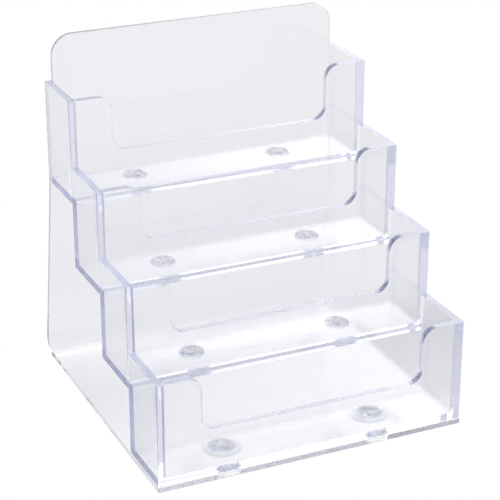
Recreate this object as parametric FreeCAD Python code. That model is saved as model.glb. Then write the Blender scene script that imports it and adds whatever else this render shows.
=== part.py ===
import os
import math
import FreeCAD, Part

# Four-tier business card holder in clear moulded plastic.
# Units are millimetres. X runs across the holder, the front faces -Y, and +Z is up.
# The origin is on the table, under the middle of the overall box.

# Card trays: four identical pockets, each one step up and one step back from the last.
TRAY_WIDTH = 100.0
TRAY_HEIGHT = 32.7
TRAY_COUNT = 4
STEP_BACK = 22.4
STEP_UP = 21.0
WALL = 2.2
FLOOR = 1.7
CORNER_RADIUS = 0.6
POCKET_CORNER_RADIUS = 0.8

# U-shaped finger cut-out in the front wall of every tray.
CUT_HALF_WIDTH = 36.0
LIP_HEIGHT = 15.1
CUT_TOP_RADIUS = 4.6
CUT_LOWER_RADIUS = 4.2

# Two domed gate bosses under every tray floor, each with the small pip that the gate leaves.
GATE_X = 24.8
GATE_FROM_FRONT = 13.4
GATE_RADIUS = 4.0
GATE_HEIGHT = 1.5
PIP_RADIUS = 0.5
PIP_HEIGHT = 0.25

# One bent sheet makes the backrest, the slanted back leg and the base.
SHEET = 1.6
BACKREST_RISE = 14.5
BACKREST_CORNER_RADIUS = 7.0
LEG_SPREAD = 12.0
FOLD_RADIUS = 5.0
KNEE_RADIUS = 9.0

# Clear bonding rings hold the lowest tray just above the base, whose holes clear the domes.
RING_RADIUS = 5.8
RING_THICKNESS = 0.4
HOLE_RADIUS = 4.3

# Cemented faces are this far apart, so no two pieces overlap.
JOINT_GAP = 0.04

# Sizes that follow from the ones above.
BASE_TO_TRAY = SHEET + RING_THICKNESS
TRAYS_DEPTH = TRAY_COUNT * STEP_BACK
TOP_TRAY_BOTTOM = BASE_TO_TRAY + (TRAY_COUNT - 1) * STEP_UP
TOP_OF_BACKREST = TOP_TRAY_BOTTOM + TRAY_HEIGHT + BACKREST_RISE
HALF_WIDTH = TRAY_WIDTH / 2
HALF_POCKET = HALF_WIDTH - WALL
EXTRA = 5.0


def fold_reach():
    """How far behind the trays' backs the rounded fold of the sheet reaches."""
    slope = math.atan2(TOP_TRAY_BOTTOM, LEG_SPREAD)
    tangent_length = FOLD_RADIUS / math.tan(slope / 2)
    return LEG_SPREAD - tangent_length + FOLD_RADIUS


OVERALL_DEPTH = TRAYS_DEPTH + fold_reach()
FRONT_Y = -OVERALL_DEPTH / 2


def box(x0, x1, y0, y1, z0, z1):
    """A block between two opposite corners."""
    corner = FreeCAD.Vector(x0, y0, z0)
    return Part.makeBox(x1 - x0, y1 - y0, z1 - z0, corner)


def edges_along(shape, axis, keep):
    """Straight edges that run along one axis and whose middle passes the keep test."""
    chosen = []
    for edge in shape.Edges:
        if edge.Curve.TypeId != "Part::GeomLine":
            continue
        direction = edge.Curve.Direction
        if abs(direction.dot(axis)) < 0.999:
            continue
        if keep(edge.CenterOfMass):
            chosen.append(edge)
    return chosen


def tray_front(level):
    """Y of the outer front face of a tray, level 0 being the lowest."""
    return FRONT_Y + level * STEP_BACK


def tray_bottom(level):
    """Z of the underside of a tray."""
    return BASE_TO_TRAY + level * STEP_UP


def outer_block(level):
    """The tray before it is hollowed, with slightly eased corners."""
    up = FreeCAD.Vector(0, 0, 1)
    y0 = tray_front(level)
    z0 = tray_bottom(level)
    y1 = y0 + STEP_BACK - JOINT_GAP
    block = box(-HALF_WIDTH, HALF_WIDTH, y0, y1, z0, z0 + TRAY_HEIGHT)
    front_corners = edges_along(block, up, lambda p: p.y < y0 + 1)
    return block.makeFillet(CORNER_RADIUS, front_corners)


def pocket_block(level, y1):
    """The space for cards, open at the top, with eased inner corners."""
    up = FreeCAD.Vector(0, 0, 1)
    y0 = tray_front(level) + WALL
    z0 = tray_bottom(level) + FLOOR
    z1 = tray_bottom(level) + TRAY_HEIGHT + EXTRA
    block = box(-HALF_POCKET, HALF_POCKET, y0, y1, z0, z1)
    front_corners = edges_along(block, up, lambda p: p.y < y0 + 1)
    return block.makeFillet(POCKET_CORNER_RADIUS, front_corners)


def cut_out_block(level):
    """A U cut-out: rounded at the bottom, flaring into the rim at the top."""
    along = FreeCAD.Vector(0, 1, 0)
    y0 = tray_front(level) - EXTRA
    y1 = tray_front(level) + WALL + 1
    rim = tray_bottom(level) + TRAY_HEIGHT
    lip = tray_bottom(level) + LIP_HEIGHT
    slot = box(-CUT_HALF_WIDTH, CUT_HALF_WIDTH, y0, y1, lip, rim + EXTRA)
    lower_edges = edges_along(slot, along, lambda p: p.z < lip + 1)
    slot = slot.makeFillet(CUT_LOWER_RADIUS, lower_edges)
    for side in (-1, 1):
        inner_x = side * CUT_HALF_WIDTH
        outer_x = side * (CUT_HALF_WIDTH + CUT_TOP_RADIUS)
        low_x = min(inner_x, outer_x)
        high_x = max(inner_x, outer_x)
        flare = box(low_x, high_x, y0, y1, rim - CUT_TOP_RADIUS, rim + EXTRA)
        axis_point = FreeCAD.Vector(outer_x, y0 - 1, rim - CUT_TOP_RADIUS)
        round_corner = Part.makeCylinder(CUT_TOP_RADIUS, y1 - y0 + 2, axis_point, along)
        slot = slot.fuse(flare.cut(round_corner))
    return slot.removeSplitter()


def gate_domes(level):
    """The two low domes under the floor, reaching a little into it."""
    ball_radius = (GATE_RADIUS ** 2 + GATE_HEIGHT ** 2) / (2 * GATE_HEIGHT)
    underside = tray_bottom(level)
    y = tray_front(level) + GATE_FROM_FRONT
    domes = []
    for side in (-1, 1):
        x = side * GATE_X
        ball = Part.makeSphere(ball_radius, FreeCAD.Vector(x, y, underside - GATE_HEIGHT + ball_radius))
        keep = box(x - 9, x + 9, y - 9, y + 9, underside - GATE_HEIGHT - 1, underside + 0.05)
        domes.append(ball.common(keep))
    return domes


def gate_pips(level):
    """The small pips at the lowest points of the domes."""
    up = FreeCAD.Vector(0, 0, 1)
    y = tray_front(level) + GATE_FROM_FRONT
    tip_z = tray_bottom(level) - GATE_HEIGHT - PIP_HEIGHT
    pips = []
    for side in (-1, 1):
        tip = FreeCAD.Vector(side * GATE_X, y, tip_z)
        pips.append(Part.makeCone(PIP_RADIUS * 0.7, PIP_RADIUS, PIP_HEIGHT + 0.5, tip, up))
    return pips


def finish_tray(tray, level):
    """Cut the U, then add the gate domes and their pips."""
    tray = tray.cut(cut_out_block(level))
    for piece in gate_domes(level) + gate_pips(level):
        tray = tray.fuse(piece)
    return tray.removeSplitter()


def make_stepped_tray(level):
    """A tray whose low back wall and side walls are cemented to the next tray up."""
    y_back = tray_front(level) + STEP_BACK - JOINT_GAP
    tray = outer_block(level).cut(pocket_block(level, y_back - WALL))
    wall_top = tray_bottom(level) + STEP_UP + FLOOR
    above_back_wall = box(-HALF_POCKET, HALF_POCKET, y_back - WALL - 1, y_back + 1,
                          wall_top, wall_top + 2 * TRAY_HEIGHT)
    return finish_tray(tray.cut(above_back_wall), level)


def make_top_tray():
    """The highest tray has no back wall: the backrest closes it between its side walls."""
    level = TRAY_COUNT - 1
    y_back = tray_front(level) + STEP_BACK
    tray = outer_block(level).cut(pocket_block(level, y_back + 1))
    panel_front = y_back - SHEET - 2 * JOINT_GAP
    backrest_space = box(-HALF_POCKET, HALF_POCKET, panel_front, y_back + 1,
                         tray_bottom(level) - 1, tray_bottom(level) + TRAY_HEIGHT)
    return finish_tray(tray.cut(backrest_space), level)


def meet(p, u, q, v):
    """Where the line through p along u meets the line through q along v, in the YZ plane."""
    cross = u.y * v.z - u.z * v.y
    step = ((q.y - p.y) * v.z - (q.z - p.z) * v.y) / cross
    return p + u * step


def sheet_outline():
    """Corners of the bent sheet seen from the side, before its folds are rounded."""
    back_y = tray_front(TRAY_COUNT - 1) + STEP_BACK - JOINT_GAP
    front = FreeCAD.Vector(0, FRONT_Y, 0)
    fold = FreeCAD.Vector(0, back_y + LEG_SPREAD, 0)
    knee = FreeCAD.Vector(0, back_y, TOP_TRAY_BOTTOM)
    top = FreeCAD.Vector(0, back_y, TOP_OF_BACKREST)
    leg = (knee - fold).normalize()
    inward = FreeCAD.Vector(0, -leg.z, leg.y)
    level_way = FreeCAD.Vector(0, 1, 0)
    upright = FreeCAD.Vector(0, 0, 1)
    leg_start = fold + inward * SHEET
    front_in = FreeCAD.Vector(0, FRONT_Y, SHEET)
    top_in = FreeCAD.Vector(0, back_y - SHEET, TOP_OF_BACKREST)
    fold_in = meet(front_in, level_way, leg_start, leg)
    knee_in = meet(top_in, upright, leg_start, leg)
    return [front, fold, knee, top, top_in, knee_in, fold_in, front_in]


def make_sheet():
    """Backrest, slanted leg and base, folded from one clear sheet."""
    across = FreeCAD.Vector(1, 0, 0)
    depthwise = FreeCAD.Vector(0, 1, 0)
    corners = sheet_outline()
    outline = Part.makePolygon(corners + [corners[0]])
    outline.translate(FreeCAD.Vector(-HALF_WIDTH, 0, 0))
    sheet = Part.Face(outline).extrude(FreeCAD.Vector(TRAY_WIDTH, 0, 0))

    def near(corner):
        return lambda p: abs(p.y - corner.y) < 0.2 and abs(p.z - corner.z) < 0.2

    rounds = [(corners[1], FOLD_RADIUS), (corners[6], FOLD_RADIUS - SHEET),
              (corners[2], KNEE_RADIUS), (corners[5], KNEE_RADIUS - SHEET)]
    for corner, radius in rounds:
        sheet = sheet.makeFillet(radius, edges_along(sheet, across, near(corner)))

    shoulder = TOP_TRAY_BOTTOM - JOINT_GAP
    for side in (-1, 1):
        inner_x = side * (HALF_POCKET - JOINT_GAP)
        outer_x = side * (HALF_WIDTH + 1)
        notch = box(min(inner_x, outer_x), max(inner_x, outer_x),
                    FRONT_Y, -FRONT_Y, shoulder, TOP_OF_BACKREST + 1)
        sheet = sheet.cut(notch)
    top_corners = edges_along(sheet, depthwise, lambda p: p.z > TOP_OF_BACKREST - 0.1)
    sheet = sheet.makeFillet(BACKREST_CORNER_RADIUS, top_corners)
    for side in (-1, 1):
        sheet = sheet.cut(upright_cylinder(side, HOLE_RADIUS, -1, SHEET + 1))
    return sheet


def upright_cylinder(side, radius, z0, z1):
    """A cylinder round the axis of one gate dome of the lowest tray."""
    base = FreeCAD.Vector(side * GATE_X, tray_front(0) + GATE_FROM_FRONT, z0)
    return Part.makeCylinder(radius, z1 - z0, base, FreeCAD.Vector(0, 0, 1))


def make_ring(side):
    """A clear bonding ring round one gate dome, between the base and the lowest tray."""
    z0 = SHEET + JOINT_GAP
    z1 = SHEET + RING_THICKNESS - JOINT_GAP
    ring = upright_cylinder(side, RING_RADIUS, z0, z1)
    return ring.cut(upright_cylinder(side, HOLE_RADIUS, z0 - 1, z1 + 1))


def export(name, shape):
    """Check one piece and write its file."""
    if not shape.isValid() or len(shape.Solids) != 1:
        raise ValueError(name + " is not one valid solid")
    box_now = shape.BoundBox
    print(name, "volume", round(shape.Volume, 1), "box", round(box_now.XLength, 2),
          round(box_now.YLength, 2), round(box_now.ZLength, 2))
    shape.Solids[0].exportStep("parts/" + name + ".step")


os.makedirs("parts", exist_ok=True)
export("tray_front", make_stepped_tray(0))
export("tray_third", make_stepped_tray(1))
export("tray_second", make_stepped_tray(2))
export("tray_top", make_top_tray())
export("back_and_base_sheet", make_sheet())
export("bond_ring_left", make_ring(-1))
export("bond_ring_right", make_ring(1))
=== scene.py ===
import math

import bpy
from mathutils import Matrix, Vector


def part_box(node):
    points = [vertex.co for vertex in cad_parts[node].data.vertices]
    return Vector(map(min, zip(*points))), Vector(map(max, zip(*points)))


# Clear moulded business card holder: four stepped trays on a bent sheet.
# Everything is in metres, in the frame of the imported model: front faces -Y, +Z is up.

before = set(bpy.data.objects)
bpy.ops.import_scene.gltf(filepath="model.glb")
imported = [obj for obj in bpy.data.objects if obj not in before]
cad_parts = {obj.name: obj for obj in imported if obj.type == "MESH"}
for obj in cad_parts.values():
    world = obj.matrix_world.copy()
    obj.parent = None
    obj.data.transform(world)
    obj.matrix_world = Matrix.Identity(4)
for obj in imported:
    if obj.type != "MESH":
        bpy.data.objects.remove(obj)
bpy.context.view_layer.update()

# Camera: the direction it looks from, its distance from the aim point, and its lens in mm.
CAMERA_AZIMUTH = math.radians(-24.47)
CAMERA_ELEVATION = math.radians(23.54)
CAMERA_DISTANCE = 0.5341
CAMERA_LENS = 124.7
CAMERA_SENSOR = 36.0
CAMERA_CLIP = (0.01, 20.0)
AIM = Vector((-0.00088, -0.00580, 0.04991))

# Optical properties of the clear plastics.
PLASTIC_IOR = 1.59
SHEET_IOR = 1.49
WHITE = (1.0, 1.0, 1.0)
FAINT_BLUE = (0.994, 0.995, 0.998)
CEMENT_BLUE = (0.96, 0.97, 1.0)
MAX_BOUNCES = 128

# Rounding of the hard edges.
EDGE_ROUND = 0.00015
EDGE_SEGMENTS = 2
EDGE_ANGLE = math.radians(40.0)
WELD_DISTANCE = 0.000001

# Gate marks under every tray floor, their nubs, and the trays' pitch.
GATE_X = 0.0248
GATE_FROM_FRONT = 0.0134
GATE_REACH = 0.0037
PIP_REACH = 0.0011
PIP_TOP = 0.0005
STEP_BACK = 0.0224
STEP_UP = 0.0210

# Surface of the gate marks: polished and faceted, with painted shade darkening the facets, and
# a dull nub darkened with painted shade.
GATE_GLOSS = -0.8
PIP_DULLNESS = 0.30
# The nub's dark colour is painted shade.
PIP_PAINTED_SHADE = (0.30, 0.31, 0.35)
FACET_SCALE = 800.0
FACET_HEIGHT = 0.0004
# Painted shade in the facets: how strongly, and from where, the high facets are darkened.
FACET_SHADE_CONTRAST = 3.0
FACET_SHADE_OFFSET = -1.35
FACET_PAINTED_SHADE = (0.22, 0.24, 0.30)

# Handling scratches: the turn and scale of two sets of stretched cells, and their borders.
SCRATCH_SETS = (
    ((0.5, 0.3, 0.65), 240.0),
    ((-0.9, -0.54, -1.17), 310.0),
)
SCRATCH_STRETCH = (1.0, 0.06, 0.5)
SCRATCH_WIDTH = 0.012
SCRATCH_DULLNESS = 0.10
SCRATCH_DEPTH = 0.00001
SCRATCH_STRENGTH = 0.4
WAVE_DETAIL = 2.0
WORN_SCALE = 38.0
WORN_DETAIL = 3.0
WORN_FROM = 0.55
WORN_TO = 0.75
GLOSS_SPREAD = 0.03

# Sockets of the Mix node when it mixes colours.
MIX_FIRST = 6
MIX_SECOND = 7
MIX_RESULT = 2

# Studio: what the camera sees directly, and what light and see-through rays meet.
BACKDROP_WHITE = 1.0
FLOOR_SIZE = 4.0
FLOOR_DROP = 0.0002
TABLE_FROM = -0.10
TABLE_TO = 0.10
TABLE_TONES_AND_PAINTED_SHADOW = (
    # Y, and the table's colour there, painted light and shade: bright in front, a painted
    # shadow under the stand, lighter again behind it
    (-0.042, (0.97, 0.97, 0.99)),
    (-0.026, (0.78, 0.775, 0.81)),
    (0.012, (0.70, 0.695, 0.735)),
    (0.056, (0.86, 0.855, 0.89)),
)
SKY_BASE = (0.80, 0.80, 0.85)
SKY_PATCHES = (
    # direction, full to this angle in degrees, gone by this angle, colour
    ((0.0, -1.0, 0.45), 25.0, 70.0, (0.42, 0.42, 0.46)),
    ((0.0, 0.2, 1.0), 20.0, 60.0, (1.2, 1.2, 1.22)),
    ((0.739, 0.489, 0.465), 26.0, 38.0, (2.3, 2.3, 2.32)),
)


def add_camera():
    """A level camera at the product view's angle."""
    data = bpy.data.cameras.new("camera")
    data.lens = CAMERA_LENS
    data.sensor_width = CAMERA_SENSOR
    data.clip_start, data.clip_end = CAMERA_CLIP
    camera = bpy.data.objects.new("camera", data)
    bpy.context.collection.objects.link(camera)
    across = math.cos(CAMERA_ELEVATION)
    back = Vector((
        math.sin(CAMERA_AZIMUTH) * across,
        -math.cos(CAMERA_AZIMUTH) * across,
        math.sin(CAMERA_ELEVATION),
    ))
    camera.location = AIM + back * CAMERA_DISTANCE
    camera.rotation_euler = (-back).to_track_quat("-Z", "Y").to_euler()
    bpy.context.scene.camera = camera


def new_material(name):
    """A material with an empty node tree, and its output node."""
    material = bpy.data.materials.new(name)
    material.use_nodes = True
    tree = material.node_tree
    tree.nodes.clear()
    output = make(tree, "OutputMaterial")
    return material, tree, output


def make(tree, kind, values=(), links=()):
    """A node whose named inputs are set to values or linked to other nodes' sockets."""
    made = tree.nodes.new("ShaderNode" + kind)
    for name, value in dict(values).items():
        made.inputs[name].default_value = value
    for name, socket in dict(links).items():
        tree.links.new(socket, made.inputs[name])
    return made


def math_node(tree, operation, first, second=None, third=None):
    """A maths node on sockets or plain numbers; gives its result socket."""
    made = tree.nodes.new("ShaderNodeMath")
    made.operation = operation
    for index, value in enumerate((first, second, third)):
        if isinstance(value, bpy.types.NodeSocket):
            tree.links.new(value, made.inputs[index])
        elif value is not None:
            made.inputs[index].default_value = value
    return made.outputs["Value"]


def mix_colour(tree, factor, first, colour):
    """The first socket's colour, turning into a fixed colour as the factor rises."""
    made = tree.nodes.new("ShaderNodeMix")
    made.data_type = "RGBA"
    tree.links.new(factor, made.inputs["Factor"])
    tree.links.new(first, made.inputs[MIX_FIRST])
    made.inputs[MIX_SECOND].default_value = (*colour, 1.0)
    return made.outputs[MIX_RESULT]


def gate_masks(tree, place, low_corner):
    """1 on the gate marks, and 1 on the nubs at their lowest points.

    low_corner is the low corner of the lowest tray's box; the other trays repeat from it.
    """
    split = make(tree, "SeparateXYZ", links={"Vector": place})
    aside = math_node(tree, "ABSOLUTE", split.outputs["X"])
    aside = math_node(tree, "SUBTRACT", aside, GATE_X)
    deep = math_node(tree, "SUBTRACT", split.outputs["Y"], low_corner[1])
    deep = math_node(tree, "FLOORED_MODULO", deep, STEP_BACK)
    deep = math_node(tree, "SUBTRACT", deep, GATE_FROM_FRONT)
    squares = math_node(tree, "MULTIPLY", aside, aside)
    squares = math_node(tree, "MULTIPLY_ADD", deep, deep, squares)
    away = math_node(tree, "SQRT", squares)
    mark = math_node(tree, "LESS_THAN", away, GATE_REACH)
    high = math_node(tree, "SUBTRACT", split.outputs["Z"], low_corner[2])
    high = math_node(tree, "FLOORED_MODULO", high, STEP_UP)
    low = math_node(tree, "LESS_THAN", high, PIP_TOP)
    pip = math_node(tree, "MULTIPLY", math_node(tree, "LESS_THAN", away, PIP_REACH), low)
    return mark, pip


def scratch_lines(tree, place):
    """Hairline handling scratches: the thin borders of stretched cells in two directions."""
    lines = []
    for turn, scale in SCRATCH_SETS:
        turned = make(tree, "Mapping", {"Rotation": turn, "Scale": SCRATCH_STRETCH},
                      {"Vector": place})
        cells = make(tree, "TexVoronoi", {"Scale": scale}, {"Vector": turned.outputs["Vector"]})
        cells.feature = "DISTANCE_TO_EDGE"
        line = make(tree, "MapRange", {
            "From Min": 0.0, "From Max": SCRATCH_WIDTH, "To Min": 1.0, "To Max": 0.0,
        }, {"Value": cells.outputs["Distance"]})
        lines.append(line.outputs["Result"])
    return math_node(tree, "MAXIMUM", *lines)


def clear_plastic(name, ior, waves, offset, haze, tint, absorb, gates_from=None):
    """Polished clear plastic: faint waviness, hairline scratches, uneven gloss, edge colour.

    waves is the scale, stretch and height of the waviness, and offset shifts its pattern.
    absorb is the colour and density inside. gates_from is the low corner of the lowest
    tray's box, given only for the plastic that has gate marks.
    """
    wave_scale, wave_stretch, wave_height = waves
    inside_colour, inside_density = absorb
    material, tree, output = new_material(name)
    place = make(tree, "TexCoord").outputs["Object"]

    # Slow waviness of the moulded or drawn surface.
    stretch = make(tree, "Mapping", {"Scale": wave_stretch, "Location": offset},
                   {"Vector": place})
    noise = make(tree, "TexNoise", {"Scale": wave_scale, "Detail": WAVE_DETAIL},
                 {"Vector": stretch.outputs["Vector"]})

    # Scratches, which only show in worn patches.
    patches = make(tree, "TexNoise", {"Scale": WORN_SCALE, "Detail": WORN_DETAIL},
                   {"Vector": place})
    worn = make(tree, "MapRange", {"From Min": WORN_FROM, "From Max": WORN_TO},
                {"Value": patches.outputs["Fac"]})
    scratches = math_node(tree, "MULTIPLY", scratch_lines(tree, place), worn.outputs["Result"])

    # Gloss: polished, a little duller in the scratches and patches.
    gloss = make(tree, "MapRange", {"To Min": haze, "To Max": haze + GLOSS_SPREAD},
                 {"Value": patches.outputs["Fac"]})
    dull = math_node(tree, "MULTIPLY_ADD", scratches, SCRATCH_DULLNESS, gloss.outputs["Result"])

    # A breath of colour that drifts across each piece.
    drift = make(tree, "ValToRGB", links={"Fac": noise.outputs["Fac"]})
    for stop, stop_colour in zip(drift.color_ramp.elements, tint):
        stop.color = (*stop_colour, 1.0)
    colour = drift.outputs["Color"]

    # Relief: the slow waves, then the scratches.
    swell = make(tree, "Bump", {"Distance": wave_height, "Strength": 1.0},
                 {"Height": noise.outputs["Fac"]})
    nick = make(tree, "Bump", {"Distance": SCRATCH_DEPTH, "Strength": SCRATCH_STRENGTH},
                {"Height": scratches, "Normal": swell.outputs["Normal"]})
    nick.invert = True
    relief = nick.outputs["Normal"]

    # Gate marks: polished and faceted, with painted shade on the facets and on the dull nub.
    if gates_from is not None:
        mark, pip = gate_masks(tree, place, gates_from)
        polish = math_node(tree, "MULTIPLY_ADD", mark, GATE_GLOSS, 1.0)
        dull = math_node(tree, "MULTIPLY", dull, polish)
        dull = math_node(tree, "MAXIMUM", dull, math_node(tree, "MULTIPLY", pip, PIP_DULLNESS))
        grains = make(tree, "TexVoronoi", {"Scale": FACET_SCALE}, {"Vector": place})
        facets = math_node(tree, "MULTIPLY", mark, grains.outputs["Distance"])
        # Painted shade: the high facets of each gate mark are darkened in the colour.
        facet_shade = math_node(tree, "MULTIPLY_ADD", facets, FACET_SHADE_CONTRAST, FACET_SHADE_OFFSET)
        facet_shade.node.use_clamp = True
        colour = mix_colour(tree, facet_shade, colour, FACET_PAINTED_SHADE)
        # Painted shade: the nub is darkened in the colour.
        colour = mix_colour(tree, pip, colour, PIP_PAINTED_SHADE)
        chips = make(tree, "Bump", {"Distance": FACET_HEIGHT, "Strength": 1.0},
                     {"Height": facets, "Normal": relief})
        relief = chips.outputs["Normal"]

    shader = make(tree, "BsdfPrincipled", {"IOR": ior, "Transmission Weight": 1.0},
                  {"Base Color": colour, "Roughness": dull, "Normal": relief})
    inside = make(tree, "VolumeAbsorption", {
        "Color": (*inside_colour, 1.0), "Density": inside_density,
    })
    tree.links.new(shader.outputs["BSDF"], output.inputs["Surface"])
    tree.links.new(inside.outputs["Volume"], output.inputs["Volume"])
    return material


def soften_edges(ob):
    """Rounds the hard edges a little, as polished or moulded plastic edges are."""
    weld = ob.modifiers.new("weld", "WELD")
    weld.merge_threshold = WELD_DISTANCE
    bevel = ob.modifiers.new("soft_edges", "BEVEL")
    bevel.width = EDGE_ROUND
    bevel.segments = EDGE_SEGMENTS
    bevel.limit_method = "ANGLE"
    bevel.angle_limit = EDGE_ANGLE
    bevel.harden_normals = True


def dress():
    """Gives every CAD node its clear plastic and softens its edges."""
    tray = clear_plastic(
        "moulded_clear_plastic", PLASTIC_IOR,
        waves=(55.0, (1.0, 1.0, 0.6), 0.00001), offset=(0.13, 0.091, -0.13), haze=0.09,
        tint=(FAINT_BLUE, WHITE), absorb=((0.15, 0.23, 0.82), 7.0),
        gates_from=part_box("tray_front")[0])
    sheet = clear_plastic(
        "bent_clear_sheet", SHEET_IOR,
        waves=(40.0, (1.0, 1.0, 0.2), 0.00001), offset=(0.37, 0.259, -0.37), haze=0.09,
        tint=(FAINT_BLUE, WHITE), absorb=((0.33, 0.42, 0.75), 1.5))
    cement = clear_plastic(
        "clear_cement", PLASTIC_IOR,
        waves=(420.0, (1.0, 1.0, 1.0), 0.00002), offset=(0.71, 0.497, -0.71), haze=0.18,
        tint=(CEMENT_BLUE, WHITE), absorb=((0.3, 0.38, 0.8), 20.0))
    for name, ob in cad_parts.items():
        if name.startswith("tray"):
            chosen = tray
        elif name.startswith("bond"):
            chosen = cement
        else:
            chosen = sheet
        ob.data.materials.clear()
        ob.data.materials.append(chosen)
        soften_edges(ob)


def seen_or_met(tree, output, seen, met):
    """The camera sees one shader directly, and every other ray meets the other shader."""
    path = make(tree, "LightPath")
    mix = make(tree, "MixShader", links={"Fac": path.outputs["Is Camera Ray"]})
    tree.links.new(met, mix.inputs[1])
    tree.links.new(seen, mix.inputs[2])
    tree.links.new(mix.outputs["Shader"], output.inputs["Surface"])


def add_floor():
    """A wide pale floor, burnt out to white where the camera sees it directly; every other ray
    meets a table tone with painted light in front and a painted shadow under the stand.
    """
    half = FLOOR_SIZE / 2
    z = -FLOOR_DROP
    corners = [(-half, -half, z), (half, -half, z), (half, half, z), (-half, half, z)]
    mesh = bpy.data.meshes.new("floor")
    mesh.from_pydata(corners, [], [(0, 1, 2, 3)])
    floor = bpy.data.objects.new("floor", mesh)
    bpy.context.collection.objects.link(floor)
    material, tree, output = new_material("pale_floor_with_painted_shadow")
    place = make(tree, "TexCoord").outputs["Object"]
    split = make(tree, "SeparateXYZ", links={"Vector": place})
    depth = make(tree, "MapRange", {"From Min": TABLE_FROM, "From Max": TABLE_TO},
                 {"Value": split.outputs["Y"]})
    painted_floor_shade = make(tree, "ValToRGB", links={"Fac": depth.outputs["Result"]})
    painted_floor_shade.color_ramp.interpolation = "EASE"
    stops = painted_floor_shade.color_ramp.elements
    stops.remove(stops[1])
    for index, (at_y, colour) in enumerate(TABLE_TONES_AND_PAINTED_SHADOW):
        where = (at_y - TABLE_FROM) / (TABLE_TO - TABLE_FROM)
        stop = stops[0] if index == 0 else stops.new(where)
        stop.position = where
        stop.color = (*colour, 1.0)
    seen = make(tree, "Emission", {"Color": (*WHITE, 1.0), "Strength": BACKDROP_WHITE})
    # Rays other than the camera's meet the table tone: painted light in front, a painted shadow
    # under the stand.
    table_with_painted_shadow = make(tree, "Emission", {"Strength": 1.0}, {"Color": painted_floor_shade.outputs["Color"]})
    seen_or_met(tree, output, seen.outputs["Emission"], table_with_painted_shadow.outputs["Emission"])
    mesh.materials.append(material)


def sky_patch(tree, direction, toward, inner, outer):
    """A soft round patch of sky around one direction, from 1 inside to 0 outside."""
    facing = tree.nodes.new("ShaderNodeVectorMath")
    facing.operation = "DOT_PRODUCT"
    tree.links.new(direction, facing.inputs[0])
    facing.inputs[1].default_value = Vector(toward).normalized()
    fade = make(tree, "MapRange", {
        "From Min": math.cos(math.radians(outer)),
        "From Max": math.cos(math.radians(inner)),
    }, {"Value": facing.outputs["Value"]})
    fade.interpolation_type = "SMOOTHSTEP"
    return fade.outputs["Result"]


def add_studio():
    """Soft light from all round: bright areas above and behind, a dimmer one in front."""
    world = bpy.data.worlds.new("studio")
    bpy.context.scene.world = world
    world.use_nodes = True
    tree = world.node_tree
    tree.nodes.clear()
    output = make(tree, "OutputWorld")
    direction = make(tree, "TexCoord").outputs["Generated"]
    so_far = make(tree, "RGB").outputs["Color"]
    so_far.default_value = (*SKY_BASE, 1.0)
    for toward, inner, outer, patch_colour in SKY_PATCHES:
        patch = sky_patch(tree, direction, toward, inner, outer)
        so_far = mix_colour(tree, patch, so_far, patch_colour)
    seen = make(tree, "Background", {"Color": (*WHITE, 1.0), "Strength": BACKDROP_WHITE})
    soft = make(tree, "Background", links={"Color": so_far})
    seen_or_met(tree, output, seen.outputs["Background"], soft.outputs["Background"])


scene = bpy.context.scene
scene.view_settings.view_transform = "Standard"
scene.cycles.max_bounces = MAX_BOUNCES
scene.cycles.transmission_bounces = MAX_BOUNCES
scene.cycles.glossy_bounces = MAX_BOUNCES

add_camera()
dress()
add_floor()
add_studio()
